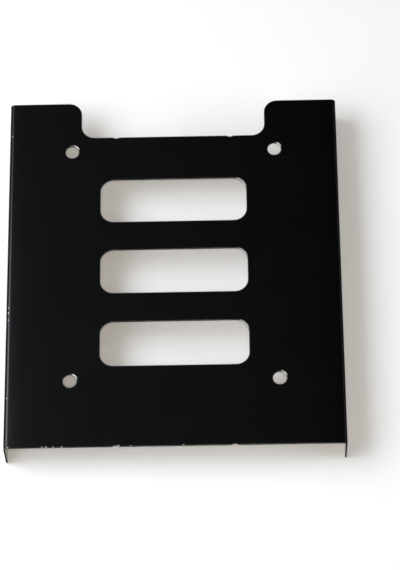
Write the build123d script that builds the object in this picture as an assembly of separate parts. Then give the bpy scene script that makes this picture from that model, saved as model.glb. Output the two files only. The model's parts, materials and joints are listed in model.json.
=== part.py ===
from build123d import *
from math import isclose
import os

# Drive bay adapter bracket: one painted steel sheet, punched and folded into a
# shallow channel. The deck carries a small drive on four screws, and the two
# flanges take the side screws of a bay that was made for a full-size drive.
# Millimetres, Z up. Y runs along the flanges towards the notched rear end, and
# the origin is midway between the flanges, on the plane that their feet rest on.

# Sheet
sheet = 0.5                 # thickness
bend_inside = 0.8           # inside radius of both folds
edge_break = 0.15           # bevel that the punch and the paint leave along the outer skin's edges

# Deck and its screw holes
width = 100.0               # over both flanges
front_margin = 21.0         # front edge to the front screw row
rear_margin = 4.9           # rear screw row to the notch
drive_hole = 4.1            # clearance hole for a drive's bottom screws
drive_hole_rim = 0.25       # wider bevel at each screw hole
drive_span_x = 61.72        # standard pattern of those screws, across the deck
drive_span_y = 76.6         # and along it

# Notch between the two rear ears
notch_width = 56.0
notch_depth = 12.1
notch_radius = 4.0          # inner corners
ear_radius = 4.0            # tips of the ears

# Slots across the deck
slot_count = 3
slot_length = 44.2
slot_width = 14.4
slot_radius = 4.0
slot_bar = 9.45             # deck left between two slots
slot_setback = 14.75        # notch to the nearest slot

# Nicks where the blank hung in its strip
nick_inset = 10.6           # side of the notch to the middle of a nick
nick_width = 2.0
nick_depth = 0.35
nick_shoulder = 0.5         # rounding where a nick meets its edge

# Flanges and their formed screw holes
side_hole_height = 5.65     # foot to hole axis
deck_rise = 6.35            # hole axis to the deck's face, as on a full-size drive's base
side_hole_margin = 6.5      # flange end to the nearest hole axis
side_hole_step = 60.0       # front hole to middle hole
side_hole = 3.5             # over the roots of the thread
collar_wall = 0.4
collar_height = 0.9         # how far a collar stands out from the flange's inner face
collar_root = 0.2           # bevel between a collar and that face
foot_radius = 1.0           # corners of the flange feet

# Derived sizes
height = side_hole_height + deck_rise
length = front_margin + drive_span_y + rear_margin + notch_depth
bend_outside = bend_inside + sheet
half_width = width / 2
rear_end = length / 2
front_end = -length / 2
notch_edge = rear_end - notch_depth
drive_middle = front_end + front_margin + drive_span_y / 2
slot_pitch = slot_width + slot_bar
slot_middle = notch_edge - slot_setback - slot_width / 2 - slot_pitch * (slot_count - 1) / 2
nick_middle = notch_width / 2 - nick_inset
nick_circle = (nick_width ** 2 / 4 + nick_depth ** 2) / (2 * nick_depth)
front_hole = front_end + side_hole_margin
rear_hole = rear_end - side_hole_margin
side_hole_places = [front_hole, front_hole + side_hole_step, rear_hole]
collar_radius = side_hole / 2 + collar_wall
same_place = sheet / 1000   # two places this close are one


def rounded_top(wide, tall, radius):
    """Rectangle standing on its base line, with its two upper corners rounded."""
    face = Rectangle(wide, tall, align=(Align.CENTER, Align.MIN))
    return fillet(face.vertices().group_by(Axis.Y)[-1], radius)


def folded_channel():
    """Plain channel: the folded section run along the length, with rounded foot corners."""
    outer = rounded_top(width, height, bend_outside)
    inner = rounded_top(width - 2 * sheet, height - sheet, bend_inside)
    channel = extrude(Plane.XZ * (outer - inner), length / 2, both=True)
    foot_corners = channel.edges().filter_by(Axis.X).group_by(Axis.Z)[0]
    return fillet(foot_corners, foot_radius)


def punch(plan):
    """Tool that takes a plan shape out of the deck."""
    return Pos(0, 0, height) * extrude(plan, 2 * sheet, both=True)


def upright_edges(body, x, y):
    """Edges through the deck's thickness at x either side of the middle, on the line y."""
    def is_there(edge):
        place = edge.center()
        return isclose(abs(place.X), x, abs_tol=same_place) and isclose(place.Y, y, abs_tol=same_place)

    return body.edges().filter_by(Axis.Z).filter_by(is_there)


def cut_notch(body):
    """Rear notch with rounded inner corners, between two ears with rounded tips."""
    body -= punch(Pos(0, rear_end) * Rectangle(notch_width, 2 * notch_depth))
    body = fillet(upright_edges(body, notch_width / 2, notch_edge), notch_radius)
    return fillet(upright_edges(body, notch_width / 2, rear_end), ear_radius)


def cut_deck_openings(body):
    """Row of round-cornered slots, and the drive's four screw holes."""
    slot = RectangleRounded(slot_length, slot_width, slot_radius)
    slots = Sketch() + GridLocations(0, slot_pitch, 1, slot_count) * slot
    holes = Sketch() + GridLocations(drive_span_x, drive_span_y, 2, 2) * Circle(drive_hole / 2)
    body -= punch(Pos(0, slot_middle) * slots)
    return body - punch(Pos(0, drive_middle) * holes)


def cut_nicks(body, edge_y, outwards):
    """Pair of shallow round nicks in the deck edge at edge_y, whose free side is outwards."""
    centre_y = edge_y + outwards * (nick_circle - nick_depth)
    for x in (-nick_middle, nick_middle):
        body -= punch(Pos(x, centre_y) * Circle(nick_circle))
    for x in (nick_middle - nick_width / 2, nick_middle + nick_width / 2):
        body = fillet(upright_edges(body, x, edge_y), nick_shoulder)
    return body


def drawn_collar():
    """Boss drawn out of a flange for one screw hole, on the X axis, with its root at x = 0."""
    section = Polyline(
        (0, 0),
        (0, collar_radius + collar_root),
        (-collar_root, collar_radius),
        (-collar_height, collar_radius),
        (-collar_height, 0),
        close=True,
    )
    return revolve(make_face(section), Axis.X)


def form_side_holes(body):
    """Screw holes in line through both flanges, each with a collar that holds its thread."""
    bore = Rot(0, 90, 0) * Cylinder(side_hole / 2, 2 * width)
    collar = Pos(half_width - sheet, 0, 0) * drawn_collar()
    for y in side_hole_places:
        axis = Pos(0, y, side_hole_height)
        for half_turn in (0, 180):
            body += axis * Rot(0, 0, half_turn) * collar
        body -= axis * bore
    return body


def skin_outline(body):
    """Edges all round the outer skin, without the fold lines that lie within it."""
    flat = body.faces().filter_by(GeomType.PLANE)
    bends = body.faces().filter_by(GeomType.CYLINDER).filter_by(
        lambda face: isclose(face.radius, bend_outside) and face.axis_of_rotation.is_parallel(Axis.Y)
    )
    flanges = flat.filter_by(Axis.X).group_by(Axis.X)
    skin = flat.group_by(Axis.Z)[-1] + flanges[0] + flanges[-1] + bends
    edges = [edge for face in skin for edge in face.edges()]
    return ShapeList(edge for edge in edges if sum(edge.is_same(other) for other in edges) == 1)


def break_edges(body):
    """Bevel along every punched edge of the outer skin, wider at the drive's screw holes."""
    def is_drive_hole(edge):
        return edge.is_closed and isclose(edge.radius, drive_hole / 2) and isclose(edge.center().Z, height)

    body = chamfer(skin_outline(body).filter_by(is_drive_hole, reverse=True), edge_break)
    return chamfer(body.edges().filter_by(is_drive_hole), drive_hole_rim)


def adapter_bracket():
    """The whole bracket, feature by feature."""
    body = folded_channel()
    body = cut_notch(body)
    body = cut_deck_openings(body)
    body = cut_nicks(body, notch_edge, outwards=1)
    body = cut_nicks(body, front_end, outwards=-1)
    body = form_side_holes(body)
    return break_edges(body)


os.makedirs("parts", exist_ok=True)
export_step(adapter_bracket(), "parts/adapter_bracket.step")
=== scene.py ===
"""Studio scene of a drive bay adapter bracket, one punched and folded steel sheet.

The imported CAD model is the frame. The sheet is drawn as its flat blank, given
rolled edges and formed holes, and folded round the same bends as the solid.
Sizes are millimetres, and each mesh is scaled to metres as it is written.
"""

import json
import logging
import math
from collections.abc import Sequence
from dataclasses import dataclass, field, replace
from enum import Enum
from typing import Any

import bpy
import numpy as np
from bpy.types import Material, Mesh, Node, NodeSocket, NodeTree, Object
from mathutils import Matrix, Vector
from mathutils.geometry import delaunay_2d_cdt


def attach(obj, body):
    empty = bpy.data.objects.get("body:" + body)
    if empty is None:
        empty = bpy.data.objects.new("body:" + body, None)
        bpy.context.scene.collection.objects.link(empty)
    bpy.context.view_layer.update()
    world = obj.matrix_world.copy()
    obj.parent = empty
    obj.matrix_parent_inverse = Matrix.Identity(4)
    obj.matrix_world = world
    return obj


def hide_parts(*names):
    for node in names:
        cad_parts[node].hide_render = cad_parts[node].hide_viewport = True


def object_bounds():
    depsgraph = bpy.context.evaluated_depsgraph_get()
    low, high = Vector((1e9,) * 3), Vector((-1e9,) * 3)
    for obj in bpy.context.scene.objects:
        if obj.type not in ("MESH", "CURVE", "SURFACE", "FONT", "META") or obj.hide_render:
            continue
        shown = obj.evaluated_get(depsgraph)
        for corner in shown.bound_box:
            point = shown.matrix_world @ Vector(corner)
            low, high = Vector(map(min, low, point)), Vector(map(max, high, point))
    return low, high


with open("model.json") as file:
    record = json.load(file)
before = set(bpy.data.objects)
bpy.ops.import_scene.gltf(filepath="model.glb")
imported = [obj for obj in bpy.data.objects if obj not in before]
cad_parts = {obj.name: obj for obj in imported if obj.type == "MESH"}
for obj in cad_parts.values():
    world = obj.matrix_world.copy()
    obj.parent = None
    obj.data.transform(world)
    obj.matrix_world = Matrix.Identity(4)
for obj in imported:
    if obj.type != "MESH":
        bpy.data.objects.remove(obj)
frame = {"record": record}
CAD_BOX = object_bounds()

LOG = logging.getLogger("bracket")
MM = 0.001
BODY = "root"

Array = np.ndarray
Colour = tuple[float, float, float, float]
Inputs = dict[str | int, Any]


class MaterialSlot(Enum):
    """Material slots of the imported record."""

    PAINT = "black_paint"


class Side(Enum):
    """The two flanges, by the sign of x."""

    LEFT = -1
    RIGHT = 1


class SheetFace(Enum):
    """Parts of the sheet's surface, by their material's place on the mesh."""

    DECK = 0
    CUT = 1
    # Outer half of each bend: its paint barely reflects, as painted shade.
    BEND = 2
    FLANGE = 3
    INSIDE = 4


class Daylight(Enum):
    """Tints of the studio's lamps."""

    COOL = (0.94, 1.0, 1.09)
    PLAIN = (1.0, 1.0, 1.0)
    WARM = (1.11, 1.0, 0.85)


# Nodes and meshes

FLOAT = "NodeSocketFloat"
VECTOR = "NodeSocketVector"
GEOMETRY = "NodeSocketGeometry"
MIX_FACTOR, MIX_FIRST, MIX_SECOND, MIX_RESULT = 0, 6, 7, 2  # a Mix node's sockets for colours


def feed(tree: NodeTree, node: Node, inputs: Inputs) -> None:
    """Link or set some inputs of a node.

    Args:
        tree: node tree that holds the node.
        node: the node.
        inputs: sockets, numbers, colours or vectors, by the input's name or number.
    """
    for key, value in inputs.items():
        if isinstance(value, NodeSocket):
            tree.links.new(value, node.inputs[key])
        else:
            node.inputs[key].default_value = value


def add_node(
    tree: NodeTree, kind: str, inputs: Inputs | None = None, output: str | int = 0, **settings: Any
) -> NodeSocket:
    """Add a node to a tree.

    Args:
        tree: node tree that gets the node.
        kind: type name of the node.
        inputs: what its inputs get, by name or number.
        output: the output that is wanted, by name or number.
        settings: properties of the node, by name.

    Returns:
        The wanted output.
    """
    node = tree.nodes.new(kind)
    for name, value in settings.items():
        setattr(node, name, value)
    feed(tree, node, inputs or {})
    return node.outputs[output]


def math_node(tree: NodeTree, operation: str, first: Any, second: Any, clamp: bool = False) -> NodeSocket:
    """Work on two numbers or sockets."""
    return add_node(tree, "ShaderNodeMath", {0: first, 1: second}, operation=operation, use_clamp=clamp)


def noise(tree: NodeTree, place: NodeSocket, scale: Any, detail: float = 2.0) -> NodeSocket:
    """Add a noise texture."""
    return add_node(tree, "ShaderNodeTexNoise", {"Vector": place, "Scale": scale, "Detail": detail}, "Fac")


def object_place(tree: NodeTree) -> NodeSocket:
    """Give the place on the object that a material is asked about."""
    return add_node(tree, "ShaderNodeTexCoord", output="Object")


def mix_colour(tree: NodeTree, factor: NodeSocket, first: Any, second: Any) -> NodeSocket:
    """Mix two colours or sockets, the first where the factor is 0."""
    inputs = {MIX_FACTOR: factor, MIX_FIRST: first, MIX_SECOND: second}
    return add_node(tree, "ShaderNodeMix", inputs, MIX_RESULT, data_type="RGBA")


def spread_value(tree: NodeTree, factor: NodeSocket, low: float, high: float) -> NodeSocket:
    """Spread a factor that runs from 0 to 1 between two values."""
    inputs = {"Value": factor, "To Min": low, "To Max": high}
    return add_node(tree, "ShaderNodeMapRange", inputs, "Result")


def open_group(
    name: str, kind: str, inputs: Sequence[tuple[str, str, Any]], output: tuple[str, str]
) -> tuple[NodeTree, Any, Node]:
    """Start a node group with named sockets.

    Args:
        name: name of the group.
        kind: type name of the tree.
        inputs: name, socket type and starting value of each input.
        output: name and socket type of the output.

    Returns:
        The tree, the sockets that bring its inputs, and its Group Output.
    """
    tree = bpy.data.node_groups.new(name, kind)
    for socket_name, socket_type, start in inputs:
        socket = tree.interface.new_socket(socket_name, in_out="INPUT", socket_type=socket_type)
        if start is not None:
            socket.default_value = start
    tree.interface.new_socket(output[0], in_out="OUTPUT", socket_type=output[1])
    return tree, tree.nodes.new("NodeGroupInput").outputs, tree.nodes.new("NodeGroupOutput")


def place_group(tree: NodeTree, group: NodeTree, inputs: dict[str, Any]) -> NodeSocket:
    """Place a shader group in a material and give its output."""
    return add_node(tree, "ShaderNodeGroup", inputs, node_tree=group)


def new_material(name: str) -> tuple[Material, NodeTree, Node]:
    """Start a material.

    Args:
        name: name of the material.

    Returns:
        The material, its tree and its Principled BSDF.
    """
    material = bpy.data.materials.new(name)
    material.use_nodes = True
    tree = material.node_tree
    return material, tree, tree.nodes["Principled BSDF"]


def smooth_mesh(name: str, places: Sequence[Any], faces: Sequence[Sequence[int]]) -> Mesh:
    """Make a smooth-shaded mesh.

    Args:
        name: name of the mesh.
        places: x, y, z of each point, in metres.
        faces: point numbers of each face.

    Returns:
        The mesh.
    """
    mesh = bpy.data.meshes.new(name)
    mesh.from_pydata(places, [], faces)
    mesh.polygons.foreach_set("use_smooth", np.ones(len(mesh.polygons), dtype=bool))
    return mesh


def place_object(name: str, data: Any) -> Object:
    """Put a mesh, lamp or camera in the scene.

    Args:
        name: name of the object.
        data: what the object shows.

    Returns:
        The object, at the origin.
    """
    item = bpy.data.objects.new(name, data)
    bpy.context.scene.collection.objects.link(item)
    return item


def run_geometry_tree(name: str, points: Mesh, tree: NodeTree, values: dict[str, Any]) -> Object:
    """Run a geometry tree on a mesh of points and keep the result as a plain mesh.

    Args:
        name: name of the piece.
        points: mesh with one vertex for each place.
        tree: geometry node tree.
        values: the tree's inputs, by socket name.

    Returns:
        The finished piece.
    """
    carrier = place_object(f"{name}_points", points)
    modifier = carrier.modifiers.new(name, "NODES")
    modifier.node_group = tree
    for item in tree.interface.items_tree:
        if item.in_out == "INPUT" and item.name in values:
            modifier[item.identifier] = values[item.name]
    graph = bpy.context.evaluated_depsgraph_get()
    mesh = bpy.data.meshes.new_from_object(carrier.evaluated_get(graph), depsgraph=graph)
    carrier.modifiers.remove(modifier)
    bpy.data.objects.remove(carrier)
    mesh.name = name
    return place_object(name, mesh)


# Finishes


def orange_peel_group() -> NodeTree:
    """Build the fine unevenness that sprayed paint dries with.

    Returns:
        A group from Vector, Scale and Sag Scale to Height.
    """
    sag_share = 2.0
    inputs = [("Vector", VECTOR, None), ("Scale", FLOAT, 900.0), ("Sag Scale", FLOAT, 60.0)]
    tree, given, result = open_group("Orange Peel", "ShaderNodeTree", inputs, ("Height", FLOAT))
    peel = noise(tree, given["Vector"], given["Scale"], detail=1.0)
    sag = noise(tree, given["Vector"], given["Sag Scale"])
    height = math_node(tree, "ADD", peel, math_node(tree, "MULTIPLY", sag, sag_share))
    feed(tree, result, {"Height": height})
    return tree


def edge_wear_and_glint_group() -> NodeTree:
    """Build the specks where paint has come off along an edge, and solid bare steel where the rim is high,
    which also lays painted highlights.

    Returns:
        A group from Vector, Rim, Scale and Amount to Mask.
    """
    sharpness = 12.0
    inputs = [
        ("Vector", VECTOR, None),
        ("Rim", FLOAT, 0.0),
        ("Scale", FLOAT, 900.0),
        ("Amount", FLOAT, 0.3),
    ]
    tree, given, result = open_group("Edge Wear and Glint", "ShaderNodeTree", inputs, ("Mask", FLOAT))
    specks = noise(tree, given["Vector"], given["Scale"], detail=3.0)
    level = math_node(tree, "SUBTRACT", 1.0, math_node(tree, "MULTIPLY", given["Rim"], given["Amount"]))
    over = math_node(tree, "SUBTRACT", specks, level)
    feed(tree, result, {"Mask": math_node(tree, "MULTIPLY", over, sharpness, clamp=True)})
    return tree


def dust_group() -> NodeTree:
    """Build sparse dust motes and a faint uneven film.

    Returns:
        A group from Vector, Scale and Amount to Mask.
    """
    film_share, sharpness = 0.1, 8.0
    inputs = [("Vector", VECTOR, None), ("Scale", FLOAT, 400.0), ("Amount", FLOAT, 0.1)]
    tree, given, result = open_group("Dust", "ShaderNodeTree", inputs, ("Mask", FLOAT))
    where = {"Vector": given["Vector"], "Scale": given["Scale"]}
    motes = add_node(tree, "ShaderNodeTexVoronoi", where, "Distance", feature="F1")
    film_scale = math_node(tree, "MULTIPLY", given["Scale"], film_share)
    film = noise(tree, given["Vector"], film_scale, detail=4.0)
    near = math_node(tree, "SUBTRACT", given["Amount"], motes)
    mote = math_node(tree, "MULTIPLY", near, sharpness, clamp=True)
    haze = math_node(tree, "MULTIPLY", film, given["Amount"])
    feed(tree, result, {"Mask": math_node(tree, "ADD", mote, haze, clamp=True)})
    return tree


@dataclass(frozen=True)
class Effects:
    """Shader groups that more than one finish uses."""

    orange_peel: NodeTree
    edge_wear_and_glint: NodeTree
    dust: NodeTree

    @classmethod
    def build(cls) -> "Effects":
        """Build every group once."""
        return cls(orange_peel_group(), edge_wear_and_glint_group(), dust_group())


@dataclass(frozen=True)
class PaintFinish:
    """Semi-gloss black paint over steel, thin and chipped along its edges, with bare steel also laid as a
    painted highlight where the rim asks for it.
    """

    name: str
    colour: Colour = (0.0004, 0.0005, 0.0005, 1.0)
    thin_colour: Colour = (0.0007, 0.0009, 0.0008, 1.0)
    dust_colour: Colour = (0.09, 0.09, 0.085, 1.0)
    steel_colour: Colour = (0.56, 0.55, 0.53, 1.0)
    gloss_roughness: float = 0.20
    dull_roughness: float = 0.24
    steel_roughness: float = 0.45
    specular: float = 0.5
    peel_scale: float = 1400.0
    sag_scale: float = 120.0
    peel_strength: float = 0.06
    peel_depth: float = 0.00002
    wear_scale: float = 2400.0
    wear_amount: float = 0.34
    dust_scale: float = 260.0
    dust_amount: float = 0.008

    def material(self, effects: Effects) -> Material:
        """Build the paint.

        Args:
            effects: the shared shader groups.

        Returns:
            The material.
        """
        material, tree, shader = new_material(self.name)
        place = object_place(tree)
        rim = add_node(tree, "ShaderNodeAttribute", output="Fac", attribute_name="rim")
        wear_inputs = {"Vector": place, "Rim": rim, "Scale": self.wear_scale, "Amount": self.wear_amount}
        wear = place_group(tree, effects.edge_wear_and_glint, wear_inputs)
        dust_inputs = {"Vector": place, "Scale": self.dust_scale, "Amount": self.dust_amount}
        dust = place_group(tree, effects.dust, dust_inputs)
        peel_inputs = {"Vector": place, "Scale": self.peel_scale, "Sag Scale": self.sag_scale}
        height = place_group(tree, effects.orange_peel, peel_inputs)
        cloud = noise(tree, place, self.sag_scale)
        paint = mix_colour(tree, cloud, self.colour, self.thin_colour)
        dusty = mix_colour(tree, dust, paint, self.dust_colour)
        gloss = spread_value(tree, cloud, self.gloss_roughness, self.dull_roughness)
        steel_share = math_node(tree, "MULTIPLY", wear, self.steel_roughness - self.gloss_roughness)
        bump_inputs = {"Strength": self.peel_strength, "Distance": self.peel_depth, "Height": height}
        # Bare steel where the edge mask is high: real chips and specks, and a painted highlight on one side
        # of each screw hole and slot.
        surface = {
            "Base Color": mix_colour(tree, wear, dusty, self.steel_colour),
            "Roughness": math_node(tree, "ADD", gloss, steel_share),
            "Metallic": wear,
            "Specular IOR Level": self.specular,
            "Normal": add_node(tree, "ShaderNodeBump", bump_inputs),
        }
        feed(tree, shader, surface)
        return material


@dataclass(frozen=True)
class FloorFinish:
    """Plain matt white card, clear from behind so that the underside can be seen."""

    name: str
    colour: Colour = (0.93, 0.93, 0.925, 1.0)
    shade: Colour = (0.915, 0.915, 0.91, 1.0)
    mottle_scale: float = 25.0
    roughness: float = 0.9
    specular: float = 0.1

    def material(self) -> Material:
        """Build the card.

        Returns:
            The material.
        """
        material, tree, shader = new_material(self.name)
        mottle = noise(tree, object_place(tree), self.mottle_scale)
        surface = {
            "Base Color": mix_colour(tree, mottle, self.colour, self.shade),
            "Roughness": self.roughness,
            "Specular IOR Level": self.specular,
        }
        feed(tree, shader, surface)
        behind = add_node(tree, "ShaderNodeNewGeometry", output="Backfacing")
        clear = add_node(tree, "ShaderNodeBsdfTransparent")
        sides = {"Fac": behind, 1: shader.outputs["BSDF"], 2: clear}
        one_sided = add_node(tree, "ShaderNodeMixShader", sides)
        feed(tree, tree.nodes["Material Output"], {"Surface": one_sided})
        return material


# The sheet


@dataclass(frozen=True)
class Corner:
    """Corner of an outline in the flat blank; radius 0 is a point on a straight run."""

    u: float
    v: float
    radius: float = 0.0


@dataclass(frozen=True)
class Station:
    """Point of an edge's section.

    Attributes:
        inset: distance into the metal from the edge's own line.
        depth: distance under the outer skin.
        lean_in: share of the surface normal that points into the metal.
        lean_down: share of the surface normal that points away from the outer skin.
        rim: how exposed the paint is here, from 0 to 1.
    """

    inset: float
    depth: float
    lean_in: float
    lean_down: float
    rim: float


@dataclass(frozen=True)
class Rim:
    """Closed edge of the flat blank, with the metal on its left.

    Attributes:
        places: one row of u, v for each point of the edge's own line.
        into_metal: unit vectors from those points into the metal.
        section: the edge's section, from the outer skin round to the inner one.
        roll: number of intervals in the section before its cut face.
        exposure: factor on the section's exposure, one number or one for each point.
    """

    places: Array
    into_metal: Array
    section: list[Station]
    roll: int
    exposure: Array | float = 1.0

    def line(self, station: int) -> Array:
        """Give the edge's u, v points at one station of its section."""
        return self.places + self.section[station].inset * self.into_metal


def round_section(
    centre: tuple[float, float],
    radius: float,
    start: float,
    end: float,
    steps: int,
    hollow: bool = False,
    rims: tuple[float, float] = (1.0, 1.0),
) -> list[Station]:
    """Sample a round stretch of an edge's section.

    Args:
        centre: inset and depth of the round's centre.
        radius: radius of the round.
        start: starting angle in degrees; 0 points into the metal and 90 points down.
        end: last angle in degrees.
        steps: number of intervals.
        hollow: whether the round is a hollow, seen from its centre.
        rims: how exposed the paint is at the round's start and at its end.

    Returns:
        The stations along the round.
    """
    facing = -1.0 if hollow else 1.0
    stations = []
    for share in np.linspace(0.0, 1.0, steps + 1):
        angle = math.radians(start + (end - start) * share)
        across, down = math.cos(angle), math.sin(angle)
        inset = centre[0] + radius * across
        depth = centre[1] + radius * down
        rim = rims[0] + (rims[1] - rims[0]) * share
        stations.append(Station(inset, depth, facing * across, facing * down, rim))
    return stations


@dataclass(frozen=True)
class SheetSizes:
    """Sizes of the folded sheet in millimetres.

    The box and the screw holes are read from the frame. Lengths across the
    blank are u and lengths along it are v.
    """

    width: float
    length: float
    height: float
    drive_span: tuple[float, float]
    drive_middle: float
    drive_hole_radius: float
    side_hole_places: tuple[float, ...]
    side_hole_height: float
    side_hole_radius: float
    thickness: float = 0.5
    bend_inside: float = 0.8
    edge_roll: float = 0.15
    hole_roll: float = 0.25
    shear_roll: float = 0.05
    notch_width: float = 56.0
    notch_depth: float = 12.1
    notch_radius: float = 4.0
    ear_radius: float = 4.0
    slot_count: int = 3
    slot_length: float = 44.2
    slot_width: float = 14.4
    slot_radius: float = 4.0
    slot_bar: float = 9.45
    slot_setback: float = 14.75
    nick_inset: float = 10.6
    nick_width: float = 2.0
    nick_depth: float = 0.35
    nick_shoulder: float = 0.5
    collar_wall: float = 0.4
    collar_height: float = 0.9
    collar_root: float = 0.2
    collar_tip: float = 0.12
    foot_radius: float = 1.0

    @classmethod
    def from_frame(cls, record: dict[str, Any], box: tuple[Vector, Vector]) -> "SheetSizes":
        """Read the overall sizes and the screw holes.

        Args:
            record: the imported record.
            box: lowest and highest corners of the CAD model, in metres.

        Returns:
            The sizes.
        """
        span = (box[1] - box[0]) / MM
        mounts = {mount["name"]: mount for mount in record["mounts"]}
        drive = mounts["drive_screws"]
        outer = mounts["right_outer_pair"]
        front = mounts["right_front_pair"]
        outer_half = outer["dims"]["spacing_x_mm"] / 2
        middle = front["pos_m"][1] / MM + front["dims"]["spacing_x_mm"] / 2
        outer_middle = outer["pos_m"][1] / MM
        return cls(
            width=span.x,
            length=span.y,
            height=span.z,
            drive_span=(drive["dims"]["spacing_x_mm"], drive["dims"]["spacing_y_mm"]),
            drive_middle=drive["pos_m"][1] / MM,
            drive_hole_radius=drive["dims"]["hole_r_mm"],
            side_hole_places=(outer_middle - outer_half, middle, outer_middle + outer_half),
            side_hole_height=outer["pos_m"][2] / MM,
            side_hole_radius=outer["dims"]["hole_r_mm"],
        )

    @property
    def bend_outside(self) -> float:
        """Outside radius of both folds."""
        return self.bend_inside + self.thickness

    @property
    def bend_start(self) -> float:
        """Distance from the middle to where a fold starts."""
        return self.width / 2 - self.bend_outside

    @property
    def bend_length(self) -> float:
        """Length of a fold in the blank, taken at half the thickness."""
        return (self.bend_inside + self.thickness / 2) * math.pi / 2

    @property
    def bend_end(self) -> float:
        """Distance from the middle to where a flange's flat starts, in the blank."""
        return self.bend_start + self.bend_length

    @property
    def blank_half(self) -> float:
        """Half the width of the flat blank."""
        return self.bend_end + self.height - self.bend_outside

    @property
    def notch_edge(self) -> float:
        """Place of the notch's floor along the blank."""
        return self.length / 2 - self.notch_depth

    @property
    def nick_middle(self) -> float:
        """Distance from the middle to each nick."""
        return self.notch_width / 2 - self.nick_inset

    @property
    def nick_circle(self) -> float:
        """Radius of a nick's round bite."""
        return ((self.nick_width / 2) ** 2 + self.nick_depth**2) / (2 * self.nick_depth)

    @property
    def nick_slope(self) -> float:
        """Angle at which a nick's shoulder runs into its bite."""
        radii = self.nick_circle + self.nick_shoulder
        return math.acos((radii - self.nick_depth) / radii)

    @property
    def nick_reach(self) -> float:
        """Distance from a nick's middle to the end of its shoulder."""
        return (self.nick_circle + self.nick_shoulder) * math.sin(self.nick_slope)


@dataclass(frozen=True)
class Chip:
    """Stretch of the front edge or of a bend where paint is worn or chipped off.

    Attributes:
        middle: its place, across the blank on the front edge and along it on a bend.
        length: how far it runs.
        wear: how much more exposed the paint is there than round about.
        fade: distance over which it dies away at both ends.
    """

    middle: float
    length: float
    wear: float
    fade: float = 0.1

    def stops(self) -> list[float]:
        """List the places where the chip starts, is whole, and ends."""
        low, high = self.middle - self.length / 2, self.middle + self.length / 2
        return [low - self.fade, low, high, high + self.fade]

    def exposure(self, places: Array) -> Array:
        """Give the chip's wear at some places along its run."""
        beyond = np.abs(places - self.middle) - self.length / 2
        return self.wear * np.clip(1.0 - beyond / self.fade, 0.0, 1.0)


def chip_wear(chips: Sequence[Chip], places: Array, near: Array) -> Array:
    """Add up what some chips take off, at the places that are near their run."""
    return np.where(near, sum(chip.exposure(places) for chip in chips), 0.0)


@dataclass
class Draft:
    """Points and faces of the blank while they are gathered.

    Attributes:
        flat: blocks of u, v for each point.
        depth: distance of each point under the outer skin.
        normals: surface normals in the flat blank.
        wear: how exposed the paint is at each point.
        faces: point numbers of each face.
        parts: part of the surface that each face belongs to.
        count: number of points so far.
    """

    flat: list[Array] = field(default_factory=list)
    depth: list[Array] = field(default_factory=list)
    normals: list[Array] = field(default_factory=list)
    wear: list[Array] = field(default_factory=list)
    faces: list[Sequence[int]] = field(default_factory=list)
    parts: list[SheetFace] = field(default_factory=list)
    count: int = 0

    def add_points(self, flat: Array, depth: float, normals: Array, wear: Array) -> Array:
        """Add a block of points that lie equally deep.

        Args:
            flat: u, v of each point.
            depth: distance of the points under the outer skin.
            normals: surface normal at each point.
            wear: how exposed the paint is at each point.

        Returns:
            The points' numbers.
        """
        size = len(flat)
        self.flat.append(flat)
        self.depth.append(np.full(size, depth))
        self.normals.append(normals)
        self.wear.append(wear)
        self.count += size
        return np.arange(self.count - size, self.count)


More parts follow.
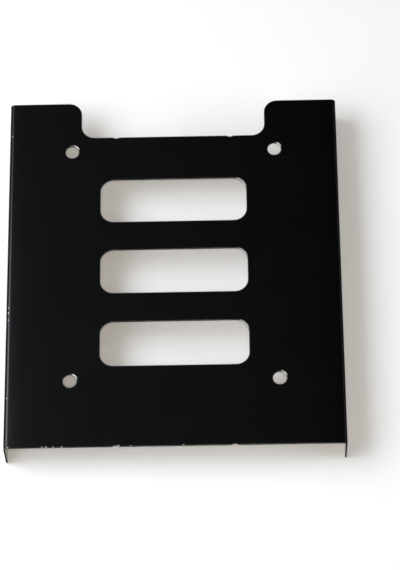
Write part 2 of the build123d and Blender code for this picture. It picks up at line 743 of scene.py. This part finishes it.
@dataclass
class FoldedSheet:
    """The whole bracket: blank outline, rolled edges, formed holes and two folds."""

    sizes: SheetSizes
    arc_step: float = math.radians(6.0)
    least_arc_steps: int = 4
    run_step: float = 2.0
    bend_steps: int = 11
    roll_steps: int = 5
    shear_steps: int = 2
    collar_steps: int = 3
    grid_step: float = 4.0
    apron: float = 0.3
    grid_margin: float = 1.6
    # The next three lay bare steel on one side of every screw hole and slot, a painted highlight for the
    # lamps' glint on the rolled rim.
    glint_bearing: float = math.radians(48.0)
    glint_strength: float = 3.0
    glint_focus: int = 10
    bend_turn: float = math.radians(41.0)
    flange_turn: float = math.radians(89.0)
    front_chips: tuple[Chip, ...] = (
        Chip(-49.7, 0.3, 2.0),
        Chip(-48.6, 0.2, 3.0),
        Chip(-38.65, 0.25, 4.0),
        Chip(-37.5, 0.35, 4.0),
        Chip(-35.45, 0.2, 4.0),
        Chip(-32.95, 0.25, 4.0),
        Chip(-16.4, 0.5, 4.0),
        Chip(-12.9, 0.2, 3.0),
        Chip(2.5, 0.3, 3.0),
    )
    bend_chips: tuple[Chip, ...] = (
        Chip(46.2, 0.25, 3.0),
        Chip(-12.1, 0.2, 3.0),
        Chip(-13.8, 0.35, 3.0),
        Chip(-16.1, 0.2, 3.0),
        Chip(-41.5, 0.2, 3.0),
    )
    chip_turn: float = math.radians(28.6)
    chip_spread: float = math.radians(8.0)
    shoulder_lines: tuple[float, ...] = (6.0, 4.0, 2.6, 1.6, 0.9, 0.4)
    shoulder_turn: float = math.radians(3.5)
    shoulder_fade: float = 3.2
    sheltered: float = 0.1
    half_sheltered: float = 0.35
    edge_slack: float = 0.01
    line_slack: float = 1e-4
    step_slack: float = 1e-6
    cut_slack: float = 1e-7
    name: str = "bracket_sheet"

    # Outlines of the blank

    def trace(self, corners: Sequence[Corner]) -> tuple[Array, Array]:
        """Follow an outline's straight runs and rounded corners.

        Args:
            corners: corners in order, with the metal on the left.

        Returns:
            Points along the outline, and unit vectors into the metal.
        """
        places: list[Vector] = []
        inwards: list[Vector] = []
        spots = [Vector((corner.u, corner.v)) for corner in corners]
        for index, corner in enumerate(corners):
            here = spots[index]
            arrive = (here - spots[index - 1]).normalized()
            leave = (spots[(index + 1) % len(spots)] - here).normalized()
            left = Vector((-arrive.y, arrive.x))
            if corner.radius == 0.0:
                places.append(here)
                inwards.append(left)
                continue
            turn = math.atan2(arrive.x * leave.y - arrive.y * leave.x, arrive.dot(leave))
            bend_way = math.copysign(1.0, turn)
            start = here - arrive * corner.radius * math.tan(abs(turn) / 2)
            centre = start + left * corner.radius * bend_way
            steps = max(self.least_arc_steps, math.ceil(abs(turn) / self.arc_step))
            for step in range(steps + 1):
                inward = Matrix.Rotation(turn * step / steps, 2) @ left
                places.append(centre - inward * corner.radius * bend_way)
                inwards.append(inward)
        return self.fill_runs(places, inwards)

    def fill_runs(self, places: list[Vector], inwards: list[Vector]) -> tuple[Array, Array]:
        """Add points along the straight runs of an outline, and drop doubled ones.

        Args:
            places: points of the outline.
            inwards: unit vectors into the metal.

        Returns:
            Both, with no run longer than the run step.
        """
        full_places: list[Vector] = []
        full_inwards: list[Vector] = []
        for index, place in enumerate(places):
            following = places[(index + 1) % len(places)]
            run = (following - place).length
            if run < self.edge_slack:
                continue
            parts = math.ceil(run / self.run_step - self.step_slack)
            next_inward = inwards[(index + 1) % len(places)]
            for part in range(parts):
                full_places.append(place.lerp(following, part / parts))
                full_inwards.append(inwards[index] if part == 0 else next_inward)
        return np.array(full_places), np.array(full_inwards)

    def nick(self, u: float, v: float, travel: int) -> list[Corner]:
        """Give the corners of a nick left by a strip tab.

        Args:
            u: middle of the nick.
            v: edge that it bites into.
            travel: 1 where the outline runs towards +u, -1 where it runs back.

        Returns:
            Two shoulders with the round bite between them.
        """
        sizes = self.sizes
        shoulder = sizes.nick_reach - sizes.nick_shoulder * math.tan(sizes.nick_slope / 2)
        depth = shoulder * math.tan(sizes.nick_slope)
        return [
            Corner(u - travel * shoulder, v, sizes.nick_shoulder),
            Corner(u, v + travel * depth, sizes.nick_circle),
            Corner(u + travel * shoulder, v, sizes.nick_shoulder),
        ]

    def bend_lines(self) -> Array:
        """List the distances of a fold's lines from the middle, those beside it first, then its creases."""
        creases = np.linspace(self.sizes.bend_start, self.sizes.bend_end, self.bend_steps + 1)
        return np.concatenate((self.sizes.bend_start - np.array(self.shoulder_lines), creases))

    def front_run(self, lines: Array) -> list[Corner]:
        """List the points of the front edge from left to right.

        Args:
            lines: distances from the middle of the lines along both folds.

        Returns:
            Creases, both nicks, and the stops of every chip that lie outside a nick.
        """
        sizes = self.sizes
        end, nick = -sizes.length / 2, sizes.nick_middle
        stops = [*-lines, *lines]
        for chip in self.front_chips:
            stops += [u for u in chip.stops() if abs(abs(u) - nick) > sizes.nick_reach + self.edge_slack]
        groups = [(u, [Corner(u, end)]) for u in stops]
        groups += [(u, self.nick(u, end, 1)) for u in (-nick, nick)]
        groups.sort(key=lambda group: group[0])
        return [corner for _, group in groups for corner in group]

    def front_exposure(self, places: Array) -> Array:
        """Say how exposed the paint is along the outer outline, 1 at an ordinary point."""
        on_front = places[:, 1] < -self.sizes.length / 2 + self.sizes.nick_depth + self.edge_slack
        return 1.0 + chip_wear(self.front_chips, places[:, 0], on_front)

    def bend_exposure(self, places: Array) -> Array:
        """Say how exposed the paint is within the outer skin, 0 but for chips on the left bend."""
        near = np.abs(self.fold_angle(places) - self.chip_turn) < self.chip_spread
        return chip_wear(self.bend_chips, places[:, 1], near & (places[:, 0] < 0))

    def blank_corners(self) -> list[Corner]:
        """List the outer outline's corners.

        Returns:
            Corners from the front left foot, with the metal on the left.
        """
        sizes = self.sizes
        half, end = sizes.blank_half, sizes.length / 2
        notch, nick, floor = sizes.notch_width / 2, sizes.nick_middle, sizes.notch_edge
        lines = self.bend_lines()
        corners = [Corner(-half, -end, sizes.foot_radius)]
        corners += self.front_run(lines)
        corners += [Corner(half, -end, sizes.foot_radius), Corner(half, end, sizes.foot_radius)]
        corners += [Corner(u, end) for u in lines[::-1]]
        corners += [Corner(notch, end, sizes.ear_radius), Corner(notch, floor, sizes.notch_radius)]
        corners += self.nick(nick, floor, -1) + self.nick(-nick, floor, -1)
        corners += [Corner(-notch, floor, sizes.notch_radius), Corner(-notch, end, sizes.ear_radius)]
        corners += [Corner(-u, end) for u in lines]
        corners += [Corner(-half, end, sizes.foot_radius)]
        return corners

    def wear_and_glint_opening(self, rim: Rim) -> Rim:
        """Lay bare steel on one side of an opening's rolled edge, as a painted highlight of the lamps' glint
        there.
        """
        towards = rim.into_metal @ np.array((math.cos(self.glint_bearing), math.sin(self.glint_bearing)))
        return replace(rim, exposure=1.0 + self.glint_strength * np.maximum(towards, 0.0) ** self.glint_focus)

    def round_hole(self, u: float, v: float, radius: float, section: list[Station]) -> Rim:
        """Cut a round hole.

        Args:
            u: middle of the hole across the blank.
            v: middle of the hole along the blank.
            radius: radius of the hole.
            section: section of its edge.

        Returns:
            The hole's rim.
        """
        steps = round(2 * math.pi / self.arc_step)
        angles = -np.arange(steps) * 2 * math.pi / steps
        outwards = np.column_stack((np.cos(angles), np.sin(angles)))
        places = np.array((u, v)) + radius * outwards
        return Rim(places, outwards, section, self.roll_steps + 1)

    def slot(self, v: float, section: list[Station]) -> Rim:
        """Cut a slot across the deck.

        Args:
            v: middle of the slot along the blank.
            section: section of its edge.

        Returns:
            The slot's rim.
        """
        sizes = self.sizes
        long, short = sizes.slot_length / 2, sizes.slot_width / 2
        signs = ((-1, -1), (-1, 1), (1, 1), (1, -1))
        corners = [Corner(a * long, v + b * short, sizes.slot_radius) for a, b in signs]
        return Rim(*self.trace(corners), section, self.roll_steps + 1)

    # Sections of the edges

    def rolled_edge(self, roll: float, foot_rim: float) -> list[Station]:
        """Start a section on the outer skin, with its rolled edge."""
        skin = Station(roll + self.apron, 0.0, 0.0, -1.0, 0.0)
        return [skin, *round_section((roll, roll), roll, -90, -180, self.roll_steps, rims=(1.0, foot_rim))]

    def cut_section(self, roll: float, foot_rim: float) -> list[Station]:
        """Give the section of a punched edge.

        Args:
            roll: radius that the punch and the paint leave on the outer skin.
            foot_rim: how exposed the paint is at the foot of that radius.

        Returns:
            Stations from the outer skin to the inner one.
        """
        shear = self.sizes.shear_roll
        tear = (shear, self.sizes.thickness - shear)
        section = self.rolled_edge(roll, foot_rim)
        return section + round_section(tear, shear, 180, 90, self.shear_steps, rims=(foot_rim, 0.0))

    def collar_section(self) -> list[Station]:
        """Give the section of a formed screw hole, whose collar stands on the inner skin.

        Returns:
            Stations from the outer skin, through the bore and round the collar.
        """
        sizes, steps = self.sizes, self.collar_steps
        tip, wall, root = sizes.collar_tip, sizes.collar_wall, sizes.collar_root
        end = sizes.thickness + sizes.collar_height
        foot = (wall + root, sizes.thickness + root)
        section = self.rolled_edge(sizes.edge_roll, 1.0)
        section += round_section((tip, end - tip), tip, 180, 90, steps)
        section += round_section((wall - tip, end - tip), tip, 90, 0, steps)
        section += round_section(foot, root, 180, 270, steps, hollow=True, rims=(1.0, 0.0))
        return section

    def rims(self) -> list[Rim]:
        """Lay out every edge of the blank.

        Returns:
            The outer outline first, then the holes.
        """
        sizes = self.sizes
        edge = self.cut_section(sizes.edge_roll, self.sheltered)
        slot_edge = self.cut_section(sizes.edge_roll, self.half_sheltered)
        screw_edge = self.cut_section(sizes.hole_roll, self.half_sheltered)
        collar = self.collar_section()
        places, into_metal = self.trace(self.blank_corners())
        rims = [Rim(places, into_metal, edge, self.roll_steps + 1, self.front_exposure(places))]
        pitch = sizes.slot_width + sizes.slot_bar
        rear_slot = sizes.notch_edge - sizes.slot_setback - sizes.slot_width / 2
        # Slots and drive holes get a painted highlight: bare steel on one side of the rolled edge.
        for index in range(sizes.slot_count):
            rims.append(self.wear_and_glint_opening(self.slot(rear_slot - pitch * index, slot_edge)))
        side_hole = sizes.blank_half - sizes.side_hole_height
        for side in Side:
            for way in (-1, 1):
                u = side.value * sizes.drive_span[0] / 2
                v = sizes.drive_middle + way * sizes.drive_span[1] / 2
                hole = self.round_hole(u, v, sizes.drive_hole_radius, screw_edge)
                rims.append(self.wear_and_glint_opening(hole))
            for v in sizes.side_hole_places:
                rims.append(self.round_hole(side.value * side_hole, v, sizes.side_hole_radius, collar))
        return rims

    # Folds

    def fold_angle(self, flat: Array) -> Array:
        """Give the angle that each point of the blank is folded by."""
        into_bend = np.abs(flat[:, 0]) - self.sizes.bend_start
        return np.clip(into_bend / self.sizes.bend_length, 0.0, 1.0) * math.pi / 2

    def fold(self, flat: Array, depth: Array) -> Array:
        """Fold points of the blank.

        Args:
            flat: one row of u, v for each point.
            depth: distance of each point under the outer skin.

        Returns:
            One row of x, y, z for each point, in millimetres.
        """
        sizes = self.sizes
        across = np.abs(flat[:, 0])
        angle = self.fold_angle(flat)
        arm = sizes.bend_outside - depth
        drop = np.maximum(across - sizes.bend_end, 0.0)
        x = np.minimum(across, sizes.bend_start) + arm * np.sin(angle)
        z = sizes.height - sizes.bend_outside + arm * np.cos(angle) - drop
        return np.column_stack((np.sign(flat[:, 0]) * x, flat[:, 1], z))

    def fold_normals(self, flat: Array, normals: Array) -> Array:
        """Turn surface normals of the blank with its folds, whose soft shoulders start before them.

        Args:
            flat: one row of u, v for each point.
            normals: normals in the flat blank, with z out of the outer skin.

        Returns:
            Normals of the folded sheet.
        """
        before = np.maximum(self.sizes.bend_start - np.abs(flat[:, 0]), 0.0)
        shoulder = self.shoulder_turn * np.exp(-before / self.shoulder_fade)
        angle = np.maximum(self.fold_angle(flat), shoulder)
        side = np.where(flat[:, 0] < 0, -1.0, 1.0)
        outwards = normals[:, 0] * side
        x = outwards * np.cos(angle) + normals[:, 2] * np.sin(angle)
        z = normals[:, 2] * np.cos(angle) - outwards * np.sin(angle)
        return np.column_stack((x * side, normals[:, 1], z))

    def skin_part(self, turn: float) -> SheetFace:
        """Name the outer skin's part at a fold angle; the deck's takes in a bend's upper half."""
        parts = (SheetFace.DECK, SheetFace.BEND, SheetFace.FLANGE)
        return parts[int(turn >= self.bend_turn) + int(turn >= self.flange_turn)]

    # Skins

    def inside_metal(self, points: Array, lines: Sequence[Array]) -> Array:
        """Test which points of the blank lie in the metal.

        Args:
            points: one row of u, v for each point.
            lines: the closed edges of the skin.

        Returns:
            True for each point with an odd number of edges beside it.
        """
        inside = np.zeros(len(points), dtype=bool)
        for line in lines:
            for (u0, v0), (u1, v1) in zip(line, np.roll(line, -1, axis=0)):
                if v0 == v1:
                    continue
                crosses = (v0 > points[:, 1]) != (v1 > points[:, 1])
                at_u = u0 + (points[:, 1] - v0) * (u1 - u0) / (v1 - v0)
                inside ^= crosses & (points[:, 0] < at_u)
        return inside

    def grid_points(self, lines: Sequence[Array]) -> Array:
        """Spread points over the flats, clear of every edge and fold.

        Args:
            lines: the closed edges of the skin.

        Returns:
            One row of u, v for each point.
        """
        sizes = self.sizes
        deck = sizes.bend_start - max(self.shoulder_lines) - self.grid_margin
        deck_count = round(2 * deck / self.grid_step) + 1
        flange = np.arange(sizes.bend_end + self.grid_margin, sizes.blank_half, self.grid_step / 2)
        across = np.concatenate((np.linspace(-deck, deck, deck_count), flange, -flange))
        along = np.linspace(-sizes.length / 2, sizes.length / 2, round(sizes.length / self.grid_step) + 1)
        points = np.array([(u, v) for u in across for v in along])
        points = points[self.inside_metal(points, lines)]
        edges = np.concatenate(lines)
        gaps = np.array([np.min(np.hypot(*(edges - point).T)) for point in points])
        return points[gaps > self.grid_margin]

    def crease(self, line: Array, u: float) -> tuple[int, int, Array]:
        """Run a line along the blank between the two ends of the outer outline.

        Args:
            line: the outer outline's points on this skin.
            u: place of the line across the blank.

        Returns:
            The outline's points at its front and rear ends, and the points between them.
        """
        on_line = np.flatnonzero(np.abs(line[:, 0] - u) < self.line_slack)
        front = int(on_line[np.argmin(line[on_line, 1])])
        rear = int(on_line[np.argmax(line[on_line, 1])])
        steps = round(self.sizes.length / self.run_step)
        along = np.linspace(line[front, 1], line[rear, 1], steps + 1)[1:-1]
        off_chips = abs(self.fold_angle(np.array([(u, 0.0)]))[0] - self.chip_turn)
        if u < 0 and off_chips < 2 * self.chip_spread:
            stops = [stop for chip in self.bend_chips for stop in chip.stops()]
            along = np.unique(np.concatenate((along, stops)))
        return front, rear, np.column_stack((np.full(len(along), u), along))

    def skin(self, rims: Sequence[Rim], station: int) -> tuple[Array, Array]:
        """Triangulate one skin of the blank.

        Args:
            rims: every edge of the blank.
            station: station of each section that bounds the skin.

        Returns:
            The skin's points, with the rims' own points first, and its triangles.
        """
        lines = [rim.line(station) for rim in rims]
        edges: list[tuple[int, int]] = []
        start = 0
        for line in lines:
            ring = range(start, start + len(line))
            edges += list(zip(ring, [*ring[1:], start]))
            start += len(line)
        points = [*lines]
        for u in self.bend_lines():
            for side in Side:
                front, rear, between = self.crease(lines[0], side.value * u)
                chain = [front, *range(start, start + len(between)), rear]
                edges += list(zip(chain[:-1], chain[1:]))
                points.append(between)
                start += len(between)
        points.append(self.grid_points(lines))
        flat = np.concatenate(points)
        whole_hull = 0
        spots = [Vector(row) for row in flat]
        cut, _, faces, origins, _, _ = delaunay_2d_cdt(spots, edges, [], whole_hull, self.cut_slack)
        if len(cut) != len(flat):
            raise ValueError("the skin's edges cross")
        source = np.array([origin[0] for origin in origins])
        triangles = source[np.array(faces)]
        middles = flat[triangles].mean(axis=1)
        return flat, triangles[self.inside_metal(middles, lines)]

    # The mesh

    def add_rim(self, draft: Draft, rim: Rim) -> tuple[Array, Array]:
        """Add an edge's points and the faces round its section.

        Args:
            draft: where they are gathered.
            rim: the edge.

        Returns:
            The numbers of its points on the outer skin and on the inner one.
        """
        rings = []
        for number, station in enumerate(rim.section):
            leaning = rim.into_metal * station.lean_in
            normals = np.column_stack((leaning, np.full(len(leaning), -station.lean_down)))
            wear = np.full(len(leaning), station.rim) * rim.exposure
            rings.append(draft.add_points(rim.line(number), station.depth, normals, wear))
        turn = self.fold_angle(rim.places)
        skin = [self.skin_part(angle) for angle in (turn + np.roll(turn, -1)) / 2]
        for number, (upper, lower) in enumerate(zip(rings[:-1], rings[1:])):
            corners = (upper, lower, np.roll(lower, -1), np.roll(upper, -1))
            draft.faces += np.column_stack(corners).tolist()
            draft.parts += skin if number < rim.roll else [SheetFace.CUT] * len(skin)
        return rings[0], rings[-1]

    def add_skin(self, draft: Draft, rims: Sequence[Rim], edge: Array, outer: bool) -> None:
        """Add a skin's own points and its triangles.

        Args:
            draft: where they are gathered.
            rims: every edge of the blank.
            edge: numbers of the edges' points on this skin.
            outer: whether it is the outer skin.
        """
        flat, triangles = self.skin(rims, 0 if outer else -1)
        depth, way = (0.0, 1) if outer else (self.sizes.thickness, -1)
        own = flat[len(edge) :]
        normals = np.tile((0.0, 0.0, way), (len(own), 1))
        added = draft.add_points(own, depth, normals, self.bend_exposure(own) * outer)
        draft.faces += np.concatenate((edge, added))[triangles[:, ::way]].tolist()
        turns = self.fold_angle(flat[triangles].mean(axis=1))
        draft.parts += [self.skin_part(turn) if outer else SheetFace.INSIDE for turn in turns]

    def build(self, paints: dict[SheetFace, Material]) -> Object:
        """Build the folded sheet and dress it.

        Args:
            paints: material of each part of the surface.

        Returns:
            The piece that stands for the CAD solid.
        """
        rims = self.rims()
        draft = Draft()
        edges = [self.add_rim(draft, rim) for rim in rims]
        self.add_skin(draft, rims, np.concatenate([outer for outer, _ in edges]), outer=True)
        self.add_skin(draft, rims, np.concatenate([inner for _, inner in edges]), outer=False)
        flat = np.concatenate(draft.flat)
        places = self.fold(flat, np.concatenate(draft.depth)) * MM
        mesh = smooth_mesh(self.name, places.tolist(), draft.faces)
        wear = np.concatenate(draft.wear)
        # The rim attribute holds real edge wear, and the painted highlight on one side of each screw hole
        # and slot.
        mesh.attributes.new("rim", "FLOAT", "POINT").data.foreach_set("value", wear)
        normals = self.fold_normals(flat, np.concatenate(draft.normals))
        mesh.normals_split_custom_set_from_vertices(normals.tolist())
        for part in SheetFace:
            mesh.materials.append(paints[part])
        parts = np.array([part.value for part in draft.parts], dtype=np.int32)
        mesh.polygons.foreach_set("material_index", parts)
        piece = place_object(self.name, mesh)
        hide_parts("adapter_bracket")
        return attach(piece, BODY)


# Threads in the side holes


@dataclass
class SideThreads:
    """Ridges of the tapped threads in the six flange holes."""

    sizes: SheetSizes
    pitch: float = 0.794
    ridge_height: float = 0.36
    entry: float = 0.45
    exit_gap: float = 0.45
    points_per_turn: int = 36
    name: str = "side_hole_threads"

    def tree(self) -> NodeTree:
        """Build the tree that winds one ridge at each point.

        Returns:
            The geometry node tree.
        """
        inputs = [
            ("Geometry", GEOMETRY, None),
            ("Turns", FLOAT, 1.5),
            ("Radius", FLOAT, 0.00175),
            ("Depth", FLOAT, 0.0012),
            ("Ridge Height", FLOAT, 0.0003),
            ("Ridge Foot", FLOAT, 0.0007),
            ("Points per Turn", "NodeSocketInt", 36),
            ("Material", "NodeSocketMaterial", None),
        ]
        tree, given, result = open_group("Tapped Thread", "GeometryNodeTree", inputs, ("Geometry", GEOMETRY))
        winding = {
            "Resolution": given["Points per Turn"],
            "Rotations": given["Turns"],
            "Start Radius": given["Radius"],
            "End Radius": given["Radius"],
            "Height": given["Depth"],
        }
        helix = add_node(tree, "GeometryNodeCurveSpiral", winding)
        upright = add_node(tree, "GeometryNodeSetCurveNormal", {"Curve": helix}, mode="Z_UP")
        height = given["Ridge Height"]
        kite = {"Width": given["Ridge Foot"], "Bottom Height": height, "Top Height": height}
        ridge = add_node(tree, "GeometryNodeCurvePrimitiveQuadrilateral", kite, mode="KITE")
        swept = {"Curve": upright, "Profile Curve": ridge, "Fill Caps": True}
        sweep = add_node(tree, "GeometryNodeCurveToMesh", swept)
        here = add_node(tree, "GeometryNodeInputPosition")
        level = (1.0, 1.0, 0.0)
        across = add_node(tree, "ShaderNodeVectorMath", {0: here, 1: level}, operation="MULTIPLY")
        from_axis = add_node(tree, "ShaderNodeVectorMath", {0: across}, "Value", operation="LENGTH")
        rise = math_node(tree, "SUBTRACT", given["Radius"], from_axis)
        exposure = math_node(tree, "DIVIDE", rise, height, clamp=True)
        stored = {"Geometry": sweep, "Name": "rim", "Value": exposure}
        crest = add_node(tree, "GeometryNodeStoreNamedAttribute", stored, data_type="FLOAT", domain="POINT")
        axis = add_node(tree, "GeometryNodeInputNamedAttribute", {"Name": "axis"}, data_type="FLOAT_VECTOR")
        turn = add_node(tree, "FunctionNodeAlignRotationToVector", {"Vector": axis}, axis="Z")
        placed = {"Points": given["Geometry"], "Instance": crest, "Rotation": turn}
        spread = add_node(tree, "GeometryNodeInstanceOnPoints", placed)
        real = add_node(tree, "GeometryNodeRealizeInstances", {"Geometry": spread})
        dressed = {"Geometry": real, "Material": given["Material"]}
        feed(tree, result, {"Geometry": add_node(tree, "GeometryNodeSetMaterial", dressed)})
        return tree

    def build(self, paint: Material) -> Object:
        """Wind the ridges in all six holes.

        Args:
            paint: material of the threads.

        Returns:
            The piece.
        """
        sizes = self.sizes
        depth = sizes.thickness + sizes.collar_height - self.entry - self.exit_gap
        skin = sizes.width / 2 - self.entry
        places, axes = [], []
        for side in Side:
            for y in sizes.side_hole_places:
                places.append((side.value * skin, y, sizes.side_hole_height))
                axes.append((-side.value, 0.0, 0.0))
        points = bpy.data.meshes.new("thread_starts")
        points.from_pydata((np.array(places) * MM).tolist(), [], [])
        points.attributes.new("axis", "FLOAT_VECTOR", "POINT").data.foreach_set("vector", np.ravel(axes))
        values = {
            "Turns": depth / self.pitch,
            "Radius": sizes.side_hole_radius * MM,
            "Depth": depth * MM,
            "Ridge Height": self.ridge_height * MM,
            "Ridge Foot": self.pitch * MM,
            "Points per Turn": self.points_per_turn,
            "Material": paint,
        }
        piece = run_geometry_tree(self.name, points, self.tree(), values)
        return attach(piece, BODY)


# Studio


@dataclass(frozen=True)
class Softbox:
    """Area lamp that faces the bracket; lengths are metres, angles degrees and power watts."""

    name: str
    azimuth: float
    elevation: float
    distance: float
    width: float
    height: float
    power: float
    tint: Daylight

    def build(self, target: Vector) -> None:
        """Hang the lamp.

        Args:
            target: place that it faces.
        """
        data = bpy.data.lights.new(self.name, "AREA")
        data.shape = "RECTANGLE"
        data.size = self.width
        data.size_y = self.height
        data.energy = self.power
        data.color = self.tint.value
        turn, rise = math.radians(self.azimuth), math.radians(self.elevation)
        away = Vector((math.sin(turn) * math.cos(rise), -math.cos(turn) * math.cos(rise), math.sin(rise)))
        lamp = place_object(self.name, data)
        lamp.location = target + away * self.distance
        lamp.rotation_mode = "QUATERNION"
        lamp.rotation_quaternion = (-away).to_track_quat("-Z", "Y")
        lamp.visible_camera = False


@dataclass(frozen=True)
class PhotoCamera:
    """Camera at the photograph's viewing angle; lengths are millimetres, angles degrees."""

    azimuth: float = -1.60
    elevation: float = 63.88
    roll: float = -2.43
    distance: float = 807.3
    target: tuple[float, float, float] = (7.73, -5.66, 12.0)
    lens: float = 171.03
    sensor: float = 36.0

    def build(self) -> None:
        """Set up the scene's camera."""
        data = bpy.data.cameras.new("photo_camera")
        data.lens = self.lens
        data.sensor_width = self.sensor
        data.sensor_fit = "AUTO"
        turn, rise, lean = (math.radians(a) for a in (self.azimuth, self.elevation, self.roll))
        aim = Matrix.Rotation(-turn, 4, "Z") @ Matrix.Rotation(math.pi / 2 - rise, 4, "X")
        back = aim.col[2].to_3d()
        pose = aim @ Matrix.Rotation(lean, 4, "Z")
        pose.translation = (Vector(self.target) + back * self.distance) * MM
        camera = place_object("photo_camera", data)
        camera.matrix_world = pose
        bpy.context.scene.camera = camera


@dataclass
class Studio:
    """Pale floor that curves up into a wall, soft lamps and a dim room; lengths are metres."""

    floor_radius: float = 1.6
    cove_radius: float = 0.5
    wall_top: float = 0.8
    cove_steps: int = 16
    sides: int = 96
    room_light: float = 0.005
    room_colour: Colour = (1.0, 1.0, 1.0, 1.0)
    target: tuple[float, float, float] = (0.0, 0.0, 0.0)
    softboxes: tuple[Softbox, ...] = (
        Softbox("front_window", -60.0, 41.0, 0.5, 0.4, 0.5, 1.28, Daylight.COOL),
        Softbox("rear_window", -98.0, 48.0, 0.5, 0.36, 0.32, 1.48, Daylight.COOL),
        Softbox("rear_corner", -130.0, 38.0, 0.5, 0.12, 0.18, 0.085, Daylight.PLAIN),
        Softbox("camera_fill", 2.8, 63.9, 0.9, 0.06, 0.06, 2.75, Daylight.WARM),
        Softbox("ceiling_card", -161.0, 63.0, 1.0, 0.36, 0.6, 0.045, Daylight.PLAIN),
        Softbox("rear_strip", -165.0, 12.0, 0.7, 0.6, 0.12, 1.12, Daylight.PLAIN),
        Softbox("right_fill", 83.0, 18.0, 0.7, 0.34, 0.25, 1.95, Daylight.COOL),
    )

    def floor(self, card: Material) -> None:
        """Sweep the floor, its cove and its wall.

        Args:
            card: material of the floor.
        """
        flat_radius = self.floor_radius - self.cove_radius
        profile = [(flat_radius / 2, 0.0)]
        for angle in np.linspace(0.0, math.pi / 2, self.cove_steps + 1):
            radius = flat_radius + self.cove_radius * math.sin(angle)
            profile.append((radius, self.cove_radius * (1 - math.cos(angle))))
        profile.append((self.floor_radius, self.wall_top))
        turns = np.arange(self.sides) * 2 * math.pi / self.sides
        points = [(0.0, 0.0, 0.0)]
        for radius, height in profile:
            points += [(radius * math.cos(t), radius * math.sin(t), height) for t in turns]
        faces: list[tuple[int, ...]] = []
        for i in range(self.sides):
            j = (i + 1) % self.sides
            faces.append((0, 1 + i, 1 + j))
            for ring in range(len(profile) - 1):
                inner = 1 + ring * self.sides
                outer = inner + self.sides
                faces.append((inner + i, outer + i, outer + j, inner + j))
        mesh = smooth_mesh("floor", points, faces)
        mesh.materials.append(card)
        floor = place_object("floor", mesh)

    def build(self, card: Material) -> None:
        """Set up the floor, lamps, room and camera.

        Args:
            card: material of the floor.
        """
        self.floor(card)
        for softbox in self.softboxes:
            softbox.build(Vector(self.target))
        world = bpy.data.worlds.new("room")
        world.use_nodes = True
        background = world.node_tree.nodes["Background"]
        feed(world.node_tree, background, {"Strength": self.room_light, "Color": self.room_colour})
        bpy.context.scene.world = world
        bpy.context.scene.view_settings.view_transform = "Standard"
        PhotoCamera().build()


def main() -> None:
    """Build the bracket's pieces and the studio."""
    logging.basicConfig(level=logging.INFO, format="%(name)s: %(message)s")
    sizes = SheetSizes.from_frame(frame["record"], CAD_BOX)
    effects = Effects.build()
    edge_paint = PaintFinish(
        "dull edge paint", gloss_roughness=0.85, dull_roughness=0.95, specular=0.05, wear_amount=0.12
    )
    # The bends' paint is the flanges' with almost no reflection: painted shade on the outer half of each
    # bend.
    flange_paint = PaintFinish("rubbed paint", gloss_roughness=0.30, dull_roughness=0.38, specular=0.1)
    bend_paint = replace(flange_paint, name="shaded paint", specular=0.01)
    inside_paint = PaintFinish(
        "sheltered paint", gloss_roughness=0.08, dull_roughness=0.12, specular=0.8, peel_strength=0.02
    )
    finishes = {
        SheetFace.DECK: PaintFinish("black paint"),
        SheetFace.CUT: edge_paint,
        SheetFace.BEND: bend_paint,
        SheetFace.FLANGE: flange_paint,
        SheetFace.INSIDE: inside_paint,
    }
    paints = {part: finish.material(effects) for part, finish in finishes.items()}
    thread_paint = PaintFinish("scraped paint", wear_amount=0.6).material(effects)
    for piece in (FoldedSheet(sizes).build(paints), SideThreads(sizes).build(thread_paint)):
        LOG.info("%s: %d faces", piece.name, len(piece.data.polygons))
    Studio().build(FloorFinish("white card").material())


if __name__ == "__main__":
    main()
